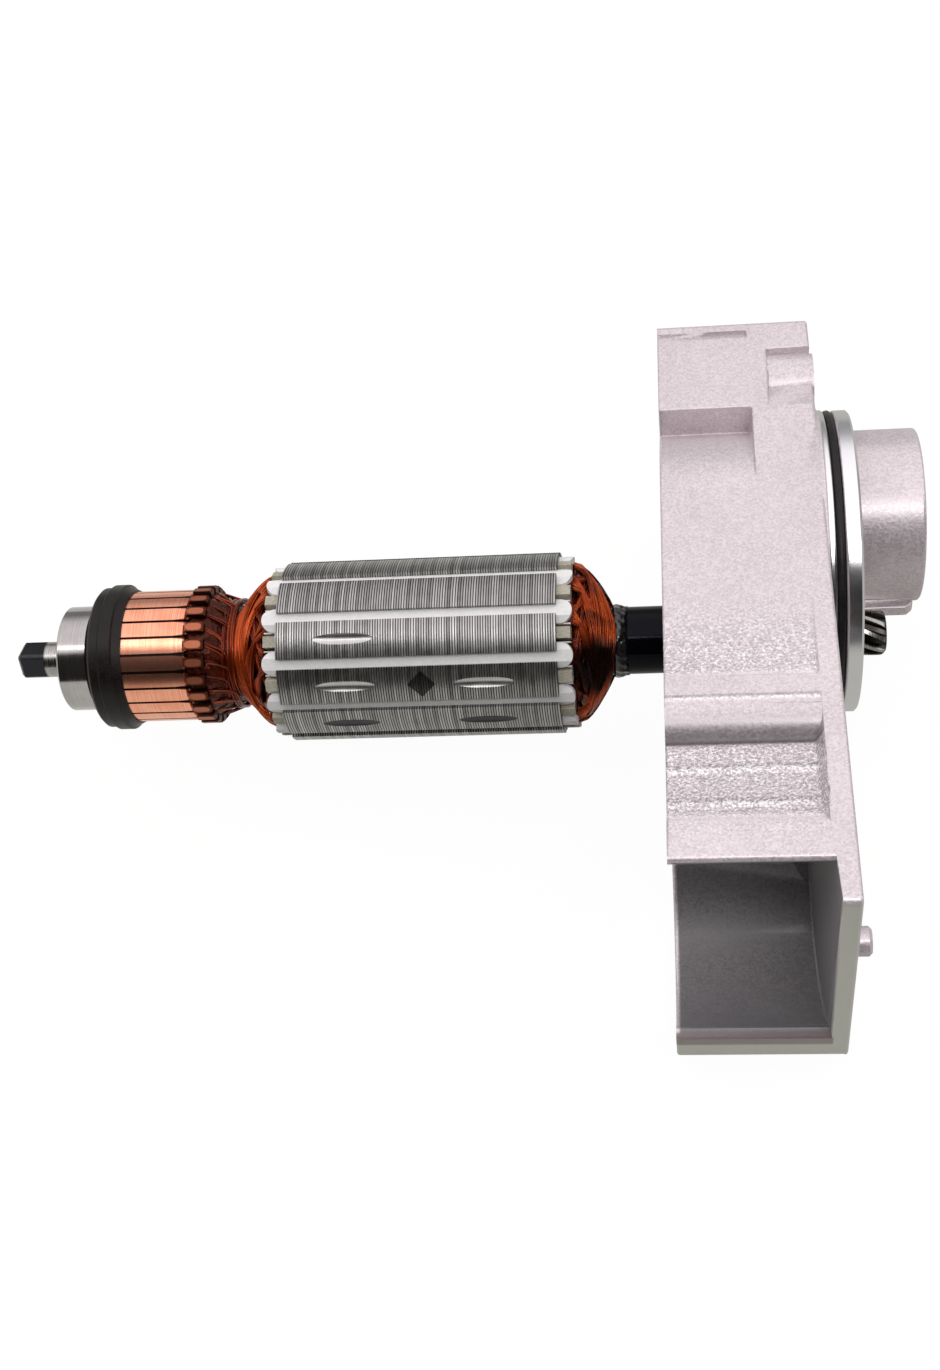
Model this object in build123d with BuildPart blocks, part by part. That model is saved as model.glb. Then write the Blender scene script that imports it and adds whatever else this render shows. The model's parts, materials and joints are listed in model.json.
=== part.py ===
from build123d import *
from math import cos, degrees, pi, radians, sin, sqrt, tan
import os

# Motor armature of a corded power tool, seated in its die-cast gear flange.
# X runs along the armature axis from the commutator to the pinion, Z is up.
# The origin is the middle of the commutator bearing.

os.makedirs("parts", exist_ok=True)

# Running and seating clearances
running_gap = 0.05
seat_gap = 0.02

# Commutator bearing, 9 x 24 x 7 mm
small_bore_r = 4.5
small_outer_r = 12.0
small_width = 7.0
small_ball_r = 1.98

# Drive bearing, 12 x 32 x 10 mm
large_bore_r = 6.0
large_outer_r = 16.0
large_width = 10.0
large_ball_r = 2.95

ball_count = 7

# Shaft
shaft_r = large_bore_r
square_corner_r = 4.1
square_flats = 6.6
square_length = 6.2
tip_reach = 12.2
seal_land_r = 5.6

# Pinion, cut on the end of the shaft
pinion_r = 5.0
pinion_root_r = 3.8
pinion_teeth = 9
pinion_length = 12.6
helix_angle = 24.0

# Commutator
bar_count = 24
track_r = 15.0
track_length = 14.5
bar_root_r = 10.4
bar_slot = 0.5
fin_drop = 0.7
hook_length = 4.5
hook_width = 2.2
hook_rise = 0.8
hook_metal = 0.9
wire_space = 0.7
bar_phase = 0.5
dust_washer_r = 16.1
dust_washer_width = 2.6
dust_washer_start = 1.4
face_ring_r = 16.7
face_ring_width = 3.0
face_ring_bevel = 2.0

# Lamination stack
stack_r = 20.3
stack_length = 61.4
slot_count = 12
slot_mouth = 2.35
tooth_tip = 1.0
slot_top_width = 5.9
slot_shoulder = 0.9
slot_bottom_r = 10.6
slot_bottom_width = 2.6
tooth_phase = 2.17

# Balancing grooves milled along some tooth tops, by distance from the stack's commutator end
groove_cutter_r = 45.6
groove_tip_r = 1.96
groove_cut = 0.5
balance_cuts = {14.9: (4, 5, 6), 45.4: (5, 6)}

# Insulation
liner_wall = 0.3
wedge_wall = 1.4
wedge_reach_out = 3.4
insulator_wall = 3.0
insulator_hub_r = 10.2
spoke_width = 2.5
spoke_drop = 0.8
sleeve_wall = 1.55

# Winding
head_top_r = 18.2
neck_r = 11.6
lead_length = 5.0
lead_r = 0.45
neck_to_stack = 12.5
drive_head_reach = 13.1
drive_head_end_r = 8.6

# Where the flange sits
stack_to_flange = 23.1

# Cooling fan
fan_r = 27.0
fan_hub_r = 9.8
fan_disc = 1.6
fan_blade_width = 8.5
fan_blades = 11
fan_blade_wall = 1.2
fan_eye_r = 15.0
fan_sweep = 28.0
fan_start = 3.5

# Gear housing casting
housing_depth = 34.4
duct_depth = 30.8
half_width = 33.5
top_y = 66.8
edge_round = 0.8
plate_foot_y = -88.0
duct_near_foot_y = -78.6
wall = 5.0
fan_chamber_r = 28.5
fan_chamber_depth = 24.5
bearing_seat_start = 16.0
bearing_seat_depth = 19.0
bearing_hub_wall = 4.5
seal_outer_r = 11.0
seal_width = 4.5
pinion_hole_r = 7.5
circlip_wall = 1.3
circlip_bite = 0.9
circlip_overlap = 1.8

# Screw columns, two at the top and two above the duct
screw_r = 2.75
screw_z = 26.5
screw_top_y = 52.0
screw_foot_y = -43.5
screw_column_r = 7.0

# Relief of the casting's flat side
valley_depth = 4.0
valley_length = 30.2
valley_draft = 1.8
valley_end_y = -66.0
rib_start_y = -70.5
pad_recess = 0.9
pad_top_y = -5.0
pad_foot_y = -30.0
step_y = 38.4
step_depth = 20.5
step_centre_y = 16.5
groove_top_y = 63.6
groove_foot_y = 61.2
side_groove_depth = 1.2
recess_start = 24.5
recess_top_y = 57.2
recess_depth = 2.5

# Duct below the fan chamber
duct_ceiling_y = -49.5
duct_draft = 2.0
duct_wall = 2.2
trough_wall = 6.0
trough_y = -69.5
ridge_y = -85.0
ridge_z = -20.2
lip_z = -19.0
trough_start_y = -53.0
trough_start_z = -18.8
far_corner_r = 26.0
passage_half = 16.0

# Hollow above the fan chamber
top_hollow_foot_y = 37.0
top_hollow_half = 20.0

# Machined spigot and its O-ring
spigot_y = 21.2
spigot_paint_r = 35.2
spigot_paint_step = 0.5
bulge_length = 3.5
land_r = 34.5
land_width = 1.6
groove_width = 2.0
groove_depth = 2.0
disc_r = 34.3
disc_width = 3.6

# Gear boss with a small lug on its shaded side
boss_y = 34.9
boss_r = 20.0
boss_reach = 16.2
boss_bore_r = 15.0
boss_bore_depth = 14.0
lug_z = -11.0
lug_half = 1.5
lug_drop = 3.5
lug_reach = 14.4
lug_slope = 1.5

# Locating nub on the plate
nub_r = 2.9
nub_y = -80.0
nub_z = 5.5
nub_height = 3.5
nub_bevel = 0.6

# Stations along X, from the sizes above
bearing_right = small_width / 2
bearing_left = -bearing_right
shaft_tip = bearing_left - tip_reach
washer_left = bearing_right + dust_washer_start
ring_left = washer_left + dust_washer_width
track_left = ring_left + face_ring_width + face_ring_bevel
track_right = track_left + track_length
hook_right = track_right + hook_length
neck_left = hook_right + lead_length
stack_left = neck_left + neck_to_stack
stack_right = stack_left + stack_length
head_right = stack_right + drive_head_reach
flange_left = stack_right + stack_to_flange
flange_right = flange_left + housing_depth
seat_left = flange_left + bearing_seat_depth
seat_right = seat_left + large_width
seal_right = seat_right + seal_width
land_left = flange_right + spigot_paint_step
groove_left = land_left + land_width
disc_left = groove_left + groove_width
disc_right = disc_left + disc_width
boss_right = disc_right + boss_reach
pinion_left = seal_right + 2.0
pinion_right = pinion_left + pinion_length
chamber_right = flange_left + fan_chamber_depth
hub_left = flange_left + bearing_seat_start
fan_left = flange_left + fan_start
fan_right = seat_left
sleeve_r = shaft_r + sleeve_wall
sleeve_left = stack_right + insulator_wall
sleeve_right = fan_left + 3.0


def keep(piece, node):
    """Label a finished piece and write it to its own file."""
    piece.part.label = node
    export_step(piece.part, f"parts/{node}.step")


def turned(points):
    """A solid turned about the armature axis from (x, radius) corners."""
    with BuildPart() as piece:
        with BuildSketch(Plane.XY):
            with BuildLine():
                Polyline(*points, close=True)
            make_face()
        revolve(axis=Axis.X)
    return piece


def ring(left, right, inner_r, outer_r):
    """A plain ring on the armature axis."""
    return turned([(left, inner_r), (right, inner_r), (right, outer_r), (left, outer_r)])


def about_axis(angle):
    """A turn about the armature axis, in degrees."""
    return Location((0, 0, 0), (angle, 0, 0))


def spin_copies(master, count, start=0.0):
    """Copies of one solid at even turns about the armature axis, as one part."""
    with BuildPart() as piece:
        for k in range(count):
            with Locations(about_axis(start + k * 360.0 / count)):
                add(master.part)
    return piece


# Ball bearings

def ball_bearing(prefix, centre, width, bore_r, outer_r, ball_r):
    """The five pieces of a shielded deep-groove bearing."""
    pitch_r = (bore_r + outer_r) / 2
    shoulder = 0.62 * ball_r
    left = centre - width / 2
    right = centre + width / 2
    shield_wall = 0.1 * width
    edge = 0.05 * width
    races = {
        "inner_ring": (bore_r, pitch_r - shoulder),
        "outer_ring": (pitch_r + shoulder, outer_r),
    }
    for node, (low_r, high_r) in races.items():
        with BuildPart() as race:
            with BuildSketch(Plane.XY):
                with Locations((centre, (low_r + high_r) / 2)):
                    Rectangle(width, high_r - low_r)
                chamfer(vertices(), edge)
                with Locations((centre, pitch_r)):
                    Circle(ball_r + running_gap, mode=Mode.SUBTRACT)
            revolve(axis=Axis.X)
        keep(race, f"{prefix}_{node}")

    with BuildPart(Plane.YZ.offset(centre)) as balls:
        with PolarLocations(pitch_r, ball_count):
            Sphere(ball_r)
    keep(balls, f"{prefix}_balls")

    cage_half = ball_r + 0.12 * ball_r
    cage_web = 0.36 * ball_r
    with BuildPart() as cage:
        with BuildSketch(Plane.XY):
            with Locations((centre, pitch_r)):
                Rectangle(2 * cage_half, 2 * cage_web)
        revolve(axis=Axis.X)
        for k in range(ball_count):
            with Locations(about_axis(k * 360.0 / ball_count)):
                with Locations(Location((centre, pitch_r, 0), (90, 0, 0))):
                    Cylinder(ball_r + running_gap, 4 * cage_web, mode=Mode.SUBTRACT)
    keep(cage, f"{prefix}_cage")

    shield_inner_r = pitch_r - shoulder + 4 * running_gap
    shield_outer_r = pitch_r + shoulder
    with BuildPart() as shields:
        for side in (left + edge, right - edge - shield_wall):
            with BuildSketch(Plane.YZ.offset(side)):
                Circle(shield_outer_r)
                Circle(shield_inner_r, mode=Mode.SUBTRACT)
            extrude(amount=shield_wall)
    keep(shields, f"{prefix}_shields")


ball_bearing("commutator_bearing", 0.0, small_width, small_bore_r, small_outer_r, small_ball_r)
ball_bearing(
    "drive_bearing", seat_left + large_width / 2, large_width, large_bore_r, large_outer_r, large_ball_r
)


# Shaft with its square end and its helical pinion

def tooth_outline():
    """Corners of the pinion's end section, tip and root by turns."""
    pitch = 2 * pi / pinion_teeth
    corners = []
    for k in range(pinion_teeth):
        for share, radius in ((-0.30, pinion_root_r), (-0.13, pinion_r), (0.13, pinion_r), (0.30, pinion_root_r)):
            angle = (k + share) * pitch
            corners.append((radius * cos(angle), radius * sin(angle)))
    return corners


with BuildSketch(Plane.YZ.offset(pinion_left)) as pinion_section:
    with BuildLine():
        Polyline(*tooth_outline(), close=True)
    make_face()

pinion_twist = degrees(pinion_length * tan(radians(helix_angle)) / ((pinion_r + pinion_root_r) / 2))
twisted_pinion = Solid.extrude_linear_with_rotation(
    pinion_section.sketch.face(), (pinion_left, 0, 0), (pinion_length, 0, 0), pinion_twist
)

pinion_round = 1.4
with BuildPart() as armature_shaft:
    add(twisted_pinion)
    with BuildSketch(Plane.XY):
        with BuildLine():
            Line((pinion_left, 0), (pinion_left, pinion_r))
            Line((pinion_left, pinion_r), (pinion_right - pinion_round, pinion_r))
            RadiusArc(
                (pinion_right - pinion_round, pinion_r), (pinion_right, pinion_r - pinion_round), pinion_round
            )
            Line((pinion_right, pinion_r - pinion_round), (pinion_right, 0))
            Line((pinion_right, 0), (pinion_left, 0))
        make_face()
    revolve(axis=Axis.X, mode=Mode.INTERSECT)
    with BuildSketch(Plane.XY):
        with BuildLine():
            Polyline(
                (shaft_tip + square_length, 0),
                (shaft_tip + square_length, square_corner_r),
                (bearing_left - 0.8, square_corner_r),
                (bearing_left - 0.4, small_bore_r),
                (bearing_right, small_bore_r),
                (bearing_right, shaft_r),
                (seat_right, shaft_r),
                (seat_right + 0.4, seal_land_r),
                (pinion_left - 0.8, seal_land_r),
                (pinion_left, pinion_r - 0.3),
                (pinion_left, 0),
                close=True,
            )
        make_face()
    revolve(axis=Axis.X)
    with BuildSketch(Plane.YZ.offset(shaft_tip)):
        Rectangle(square_flats, square_flats, rotation=74)
        Circle(square_corner_r, mode=Mode.INTERSECT)
    extrude(amount=square_length)
    chamfer(faces().sort_by(Axis.X)[0].edges(), 0.7)
keep(armature_shaft, "armature_shaft")

shaft_sleeve = ring(sleeve_left, sleeve_right, shaft_r, sleeve_r)
keep(shaft_sleeve, "shaft_sleeve")


# Commutator

hook_outer_r = track_r + hook_rise
hook_inner_r = hook_outer_r - hook_metal
tongue_top_r = hook_inner_r - wire_space
half_bar = 180.0 / bar_count
wedge_tip = (bar_slot / 2) / sin(radians(half_bar))
wedge_reach = 2 * track_r
wedge_spread = (wedge_reach - wedge_tip) * tan(radians(half_bar))

with BuildPart() as bar_master:
    with BuildSketch(Plane.YZ.offset(track_left)):
        Circle(track_r)
        Circle(bar_root_r, mode=Mode.SUBTRACT)
        with BuildLine():
            Polyline((wedge_tip, 0), (wedge_reach, wedge_spread), (wedge_reach, -wedge_spread), close=True)
        make_face(mode=Mode.INTERSECT)
    extrude(amount=track_length)
    chamfer(edges().filter_by(GeomType.CIRCLE).group_by(Axis.X)[-1].sort_by(Axis.Y)[-1], 0.35)
    with BuildSketch(Plane.XY):
        with BuildLine():
            Polyline(
                (track_right - 0.5, bar_root_r + 0.6),
                (hook_right, bar_root_r + 0.6),
                (hook_right, hook_outer_r - 0.5),
                (hook_right - 0.5, hook_outer_r),
                (track_right + 0.25, hook_outer_r),
                (track_right + 0.25, hook_inner_r),
                (hook_right - hook_metal, hook_inner_r),
                (hook_right - hook_metal, tongue_top_r),
                (track_right - 0.5, tongue_top_r),
                close=True,
            )
        make_face()
    extrude(amount=hook_width / 2, both=True)

for k in range(bar_count):
    with BuildPart() as commutator_bar:
        with Locations(about_axis(bar_phase + k * 360.0 / bar_count)):
            add(bar_master.part)
    keep(commutator_bar, f"commutator_bar_{k + 1:02d}")

fin_top_r = track_r - fin_drop
fin_height = fin_top_r - bar_root_r + 1.0
with BuildPart() as commutator_hub:
    with BuildSketch(Plane.XY):
        with Locations(((ring_left + hook_right) / 2, (shaft_r + bar_root_r) / 2)):
            Rectangle(hook_right - ring_left, bar_root_r - shaft_r)
    revolve(axis=Axis.X)
    for k in range(bar_count):
        with Locations(about_axis(bar_phase + (k + 0.5) * 360.0 / bar_count)):
            with Locations(((track_left + track_right) / 2, fin_top_r - fin_height / 2, 0)):
                Box(track_length, fin_height, bar_slot - 2 * seat_gap)
keep(commutator_hub, "commutator_hub")

commutator_face_ring = turned([
    (ring_left, bar_root_r),
    (ring_left, face_ring_r - 0.3),
    (ring_left + 0.3, face_ring_r),
    (ring_left + face_ring_width, face_ring_r),
    (ring_left + face_ring_width + 0.25, face_ring_r - 0.5),
    (track_left, track_r + 0.35),
    (track_left, bar_root_r),
])
keep(commutator_face_ring, "commutator_face_ring")

bearing_dust_washer = turned([
    (washer_left, shaft_r),
    (washer_left, dust_washer_r - 0.6),
    (washer_left + 0.6, dust_washer_r),
    (ring_left, dust_washer_r),
    (ring_left, shaft_r),
])
keep(bearing_dust_washer, "bearing_dust_washer")


# Coil leads, varnished into a collar that also fills the gaps between the hooks

lead_angle = 14.0
lead_start = Vector(hook_right + lead_r, tongue_top_r + wire_space / 2, 0)
lead_end_r = neck_r + 0.3
lead_end = Vector(
    neck_left - lead_r, lead_end_r * cos(radians(lead_angle)), lead_end_r * sin(radians(lead_angle))
)
with BuildPart() as lead_master:
    with BuildLine() as lead_path:
        Line(lead_start, lead_end)
    with BuildSketch(Plane(origin=lead_start, z_dir=lead_path.line % 0)):
        Circle(lead_r)
    sweep()

with BuildPart() as coil_leads:
    with BuildSketch(Plane.XY):
        with BuildLine():
            Polyline(
                (track_right + 0.1, bar_root_r),
                (hook_right, bar_root_r),
                (hook_right, shaft_r),
                (neck_left, shaft_r),
                (neck_left, neck_r),
                (hook_right + 0.6 * lead_length, 0.4 * tongue_top_r + 0.6 * neck_r),
                (hook_right + 0.1, tongue_top_r),
                (track_right + 0.1, tongue_top_r - 0.4),
                close=True,
            )
        make_face()
    revolve(axis=Axis.X)
    for k in range(bar_count):
        with Locations(about_axis(bar_phase + k * 360.0 / bar_count)):
            with Locations(((track_right + hook_right) / 2, (bar_root_r + hook_outer_r) / 2, 0)):
                Box(
                    hook_length, hook_outer_r - bar_root_r + 0.1, hook_width + 2 * seat_gap,
                    mode=Mode.SUBTRACT,
                )
            add(lead_master.part)
keep(coil_leads, "coil_leads")


# Lamination stack with its half-closed slots

shoulder_r = stack_r - tooth_tip
slot_wide_r = shoulder_r - slot_shoulder
slot_angles = [tooth_phase + (k + 0.5) * 360.0 / slot_count for k in range(slot_count)]


def slot_half_width(radius):
    """Half the slot's width at a radius, between its straight sides."""
    share = (radius - slot_bottom_r) / (slot_wide_r - slot_bottom_r)
    return (slot_bottom_width + share * (slot_top_width - slot_bottom_width)) / 2


def slot_plug(left, right, inset, top_r):
    """The slot's inside below top_r, shrunk by an inset, as a straight bar."""
    low_r = slot_bottom_r + inset
    with BuildPart() as plug:
        with BuildSketch(Plane.YZ.offset(left)) as section:
            with BuildLine():
                Polyline(
                    (low_r, -slot_half_width(low_r) + inset),
                    (top_r, -slot_half_width(top_r) + inset),
                    (top_r, slot_half_width(top_r) - inset),
                    (low_r, slot_half_width(low_r) - inset),
                    close=True,
                )
            make_face()
            fillet(section.vertices().group_by(Axis.X)[0], 0.8)
        extrude(amount=right - left)
    return plug


slot_cut = slot_plug(stack_left - 1, stack_right + 1, 0.0, slot_wide_r)
with BuildPart() as slot_mouth_cut:
    with BuildSketch(Plane.YZ.offset(stack_left - 1)):
        with BuildLine():
            Polyline(
                (slot_wide_r - 0.1, -slot_half_width(slot_wide_r - 0.1)),
                (slot_wide_r, -slot_top_width / 2),
                (shoulder_r, -slot_mouth / 2),
                (stack_r + 1, -slot_mouth / 2),
                (stack_r + 1, slot_mouth / 2),
                (shoulder_r, slot_mouth / 2),
                (slot_wide_r, slot_top_width / 2),
                (slot_wide_r - 0.1, slot_half_width(slot_wide_r - 0.1)),
                close=True,
            )
        make_face()
    extrude(amount=stack_length + 2)

with BuildPart() as lamination_stack:
    with BuildSketch(Plane.YZ.offset(stack_left)):
        Circle(stack_r)
        Circle(shaft_r, mode=Mode.SUBTRACT)
    extrude(amount=stack_length)
    for angle in slot_angles:
        with Locations(about_axis(angle)):
            add(slot_cut.part, mode=Mode.SUBTRACT)
            add(slot_mouth_cut.part, mode=Mode.SUBTRACT)
    for distance, teeth in balance_cuts.items():
        for tooth in teeth:
            with Locations(about_axis(tooth_phase + tooth * 360.0 / slot_count)):
                with Locations((stack_left + distance, stack_r - groove_cut + groove_cutter_r, 0)):
                    Torus(groove_cutter_r - groove_tip_r, groove_tip_r, mode=Mode.SUBTRACT)
keep(lamination_stack, "lamination_stack")


# End insulators, liners and wedges

def end_insulator(left):
    """A star of insulating board against one end of the stack."""
    with BuildPart() as star:
        with BuildSketch(Plane.YZ.offset(left)):
            Circle(insulator_hub_r)
            for angle in slot_angles:
                with Locations(Rotation(0, 0, angle - 180.0 / slot_count)):
                    with Locations((shoulder_r / 2, 0)):
                        Rectangle(shoulder_r - spoke_drop / 2, spoke_width)
            Circle(shaft_r, mode=Mode.SUBTRACT)
        extrude(amount=insulator_wall)
    return star


end_insulator_commutator = end_insulator(stack_left - insulator_wall)
keep(end_insulator_commutator, "end_insulator_commutator")
end_insulator_drive = end_insulator(stack_right)
keep(end_insulator_drive, "end_insulator_drive")

wedge_top_r = shoulder_r - 0.1
wedge_low_r = wedge_top_r - wedge_wall
liner_top_r = wedge_low_r - seat_gap
liner_left = stack_left - insulator_wall
liner_right = stack_right + insulator_wall
liner_outside = slot_plug(liner_left, liner_right, seat_gap, liner_top_r)
liner_inside = slot_plug(liner_left - 1, liner_right + 1, seat_gap + liner_wall, liner_top_r + 0.1)
with BuildPart() as liner_master:
    add(liner_outside.part)
    add(liner_inside.part, mode=Mode.SUBTRACT)
slot_liners = spin_copies(liner_master, slot_count, slot_angles[0])
keep(slot_liners, "slot_liners")

wedge_left = stack_left - wedge_reach_out
wedge_right = stack_right + wedge_reach_out
wedge_half = slot_half_width(wedge_low_r) - seat_gap
with BuildPart() as wedge_master:
    with BuildSketch(Plane.YZ.offset(wedge_left)):
        with BuildLine():
            Polyline(
                (wedge_low_r, -wedge_half),
                (slot_wide_r - 0.1, -wedge_half),
                (wedge_top_r, -slot_mouth / 2 - 0.1),
                (wedge_top_r, slot_mouth / 2 + 0.1),
                (slot_wide_r - 0.1, wedge_half),
                (wedge_low_r, wedge_half),
                close=True,
            )
        make_face()
    extrude(amount=wedge_right - wedge_left)
    with BuildSketch(Plane.XZ):
        with Locations(((wedge_left + wedge_right) / 2, 0)):
            SlotOverall(wedge_right - wedge_left, 2 * wedge_half)
    extrude(amount=stack_r, both=True, mode=Mode.INTERSECT)
slot_wedges = spin_copies(wedge_master, slot_count, slot_angles[0])
keep(slot_wedges, "slot_wedges")


# Winding: coil sides in the slots and a coil head at each end

coil_inset = seat_gap + liner_wall + 0.1
coil_master = slot_plug(wedge_left, wedge_right, coil_inset, liner_top_r - 0.1)
slot_coils = spin_copies(coil_master, slot_count, slot_angles[0])
keep(slot_coils, "slot_coils")

head_length = wedge_left - neck_left
head_rise = head_top_r - neck_r
with BuildPart() as winding_commutator_end:
    with BuildSketch(Plane.XY):
        with BuildLine():
            Line((neck_left, shaft_r), (neck_left, neck_r))
            Spline(
                (neck_left, neck_r),
                (neck_left + 0.30 * head_length, neck_r + 0.22 * head_rise),
                (neck_left + 0.65 * head_length, neck_r + 0.68 * head_rise),
                (wedge_left, head_top_r),
            )
            Line((wedge_left, head_top_r), (wedge_left, insulator_hub_r))
            Line((wedge_left, insulator_hub_r), (liner_left, insulator_hub_r))
            Line((liner_left, insulator_hub_r), (liner_left, shaft_r))
            Line((liner_left, shaft_r), (neck_left, shaft_r))
        make_face()
    revolve(axis=Axis.X)
keep(winding_commutator_end, "winding_commutator_end")

dome_length = head_right - wedge_right
dome_drop = head_top_r - drive_head_end_r
with BuildPart() as winding_drive_end:
    with BuildSketch(Plane.XY):
        with BuildLine():
            Line((wedge_right, insulator_hub_r), (wedge_right, head_top_r))
            Spline(
                (wedge_right, head_top_r),
                (wedge_right + 0.40 * dome_length, head_top_r - 0.22 * dome_drop),
                (wedge_right + 0.80 * dome_length, head_top_r - 0.62 * dome_drop),
                (head_right, drive_head_end_r),
            )
            Line((head_right, drive_head_end_r), (head_right, sleeve_r))
            Line((head_right, sleeve_r), (liner_right, sleeve_r))
            Line((liner_right, sleeve_r), (liner_right, insulator_hub_r))
            Line((liner_right, insulator_hub_r), (wedge_right, insulator_hub_r))
        make_face()
    revolve(axis=Axis.X)
keep(winding_drive_end, "winding_drive_end")


# Cooling fan

fan_disc_right = hub_left - 1.0
fan_disc_left = fan_disc_right - fan_disc
with BuildPart() as blade_master:
    with BuildSketch(Plane.YZ.offset(fan_disc_left - fan_blade_width)):
        with BuildLine():
            RadiusArc(
                (fan_eye_r, 0),
                ((fan_r + 1) * cos(radians(fan_sweep)), (fan_r + 1) * sin(radians(fan_sweep))),
                -1.2 * fan_r,
            )
        trace(line_width=fan_blade_wall)
        Circle(fan_r, mode=Mode.INTERSECT)
    extrude(amount=fan_blade_width + fan_disc / 2)

with BuildPart() as cooling_fan:
    with BuildSketch(Plane.XY):
        with BuildLine():
            Polyline(
                (sleeve_right, shaft_r),
                (fan_right, shaft_r),
                (fan_right, fan_hub_r - 1.6),
                (fan_disc_right + 1.0, fan_hub_r - 1.6),
                (fan_disc_right, fan_hub_r),
                (fan_disc_right, fan_r),
                (fan_disc_left, fan_r),
                (fan_disc_left, fan_hub_r + 1.0),
                (fan_disc_left - 1.0, fan_hub_r),
                (sleeve_right, fan_hub_r),
                close=True,
            )
        make_face()
    revolve(axis=Axis.X)
    for k in range(fan_blades):
        with Locations(about_axis(k * 360.0 / fan_blades)):
            add(blade_master.part)
keep(cooling_fan, "cooling_fan")


# Shaft seal and the ring that holds the drive bearing

seal_lip_r = seal_land_r + running_gap
shaft_seal = turned([
    (seat_right, seal_outer_r - seat_gap),
    (seal_right, seal_outer_r - seat_gap),
    (seal_right, seal_lip_r + 1.6),
    (seal_right - 1.2, seal_lip_r),
    (seal_right - 2.2, seal_lip_r),
    (seat_right + 1.2, seal_lip_r + 1.6),
    (seat_right, seal_lip_r + 1.6),
])
keep(shaft_seal, "shaft_seal")

circlip_outer_r = large_outer_r + circlip_bite
circlip_left = seat_left - circlip_wall
with BuildPart() as bearing_retaining_ring:
    with BuildSketch(Plane.YZ.offset(circlip_left)):
        Circle(circlip_outer_r)
        Circle(large_outer_r - circlip_overlap, mode=Mode.SUBTRACT)
        with Locations((0, large_outer_r)):
            Rectangle(6, 2 * (circlip_bite + circlip_overlap) + 1, mode=Mode.SUBTRACT)
    extrude(amount=circlip_wall)
keep(bearing_retaining_ring, "bearing_retaining_ring")


# Spigot O-ring

o_ring_r = 0.95 * groove_width / 2
o_ring_centre_r = land_r - groove_depth + o_ring_r
with BuildPart() as spigot_o_ring:
    with BuildSketch(Plane.XY):
        with Locations(((groove_left + disc_left) / 2, spigot_y + o_ring_centre_r)):
            Circle(o_ring_r)
    revolve(axis=Axis((0, spigot_y, 0), (1, 0, 0)))
keep(spigot_o_ring, "spigot_o_ring")


# Gear housing casting

past = 1.0
flank = half_width + past + 2.0
seat_bore_r = large_outer_r + seat_gap

with BuildPart() as duct_plug:
    with BuildSketch(Plane.YZ.offset(flange_left)):
        with BuildLine():
            RadiusArc((ridge_y, ridge_z), (plate_foot_y, lip_z), 2.4)
            Polyline(
                (plate_foot_y, lip_z),
                (plate_foot_y - past, lip_z),
                (plate_foot_y - past, flank),
                (duct_near_foot_y + duct_wall / 2, flank),
                (duct_near_foot_y + duct_wall / 2, half_width),
            )
            ThreePointArc(
                (duct_near_foot_y + duct_wall / 2, half_width),
                (duct_near_foot_y, half_width - duct_wall / 2),
                (duct_near_foot_y + duct_wall / 2, half_width - duct_wall),
            )
            Polyline(
                (duct_near_foot_y + duct_wall / 2, half_width - duct_wall),
                (rib_start_y, half_width - duct_wall),
                (valley_end_y, half_width - valley_depth - duct_wall),
                (duct_ceiling_y, half_width - valley_depth - duct_wall),
                (duct_ceiling_y, trough_start_z + 6.0),
                (trough_start_y, trough_start_z),
            )
            ThreePointArc(
                (trough_start_y, trough_start_z), (trough_y, trough_wall - half_width), (ridge_y, ridge_z)
            )
        make_face()
    extrude(amount=duct_depth)
    with BuildSketch(Plane.XY):
        with BuildLine():
            Polyline(
                (flange_left + duct_depth - duct_draft, duct_ceiling_y + past),
                (flange_left + duct_depth, plate_foot_y),
                (flange_left + duct_depth, plate_foot_y - 2 * past),
                (flange_left + duct_depth + past, plate_foot_y - 2 * past),
                (flange_left + duct_depth + past, duct_ceiling_y + past),
                close=True,
            )
        make_face()
    extrude(amount=2 * half_width, both=True, mode=Mode.SUBTRACT)

column_drop = 0.92 * screw_column_r
column_side_z = screw_z + sqrt(screw_column_r**2 - column_drop**2)
with BuildPart() as valley_plug:
    with BuildSketch(Plane.YZ.offset(flange_left)):
        with BuildLine():
            RadiusArc(
                (screw_foot_y, screw_z + screw_column_r), (screw_foot_y - column_drop, column_side_z),
                -screw_column_r,
            )
            Polyline(
                (screw_foot_y - column_drop, column_side_z),
                (valley_end_y, half_width - 0.9 * valley_depth),
                (rib_start_y, half_width),
                (rib_start_y, flank),
                (screw_foot_y, flank),
                (screw_foot_y, screw_z + screw_column_r),
            )
        make_face()
        with BuildLine():
            Polyline(
                (pad_top_y, half_width),
                (pad_foot_y, half_width - pad_recess),
                (screw_foot_y + screw_column_r + 0.5, half_width - pad_recess),
                (screw_foot_y + screw_column_r - 0.3, half_width),
                (screw_foot_y + screw_column_r - 0.3, flank),
                (pad_top_y, flank),
                close=True,
            )
        make_face()
    extrude(amount=valley_length)
    with BuildSketch(Plane.XZ.offset(-pad_top_y)):
        with BuildLine():
            Polyline(
                (flange_left + valley_length - valley_draft, half_width - valley_depth - 0.5),
                (flange_left + valley_length, half_width),
                (flange_left + valley_length, flank + past),
                (flange_left + valley_length + past, flank + past),
                (flange_left + valley_length + past, half_width - valley_depth - 0.5),
                close=True,
            )
        make_face()
    extrude(amount=pad_top_y - plate_foot_y, mode=Mode.SUBTRACT)

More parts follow.
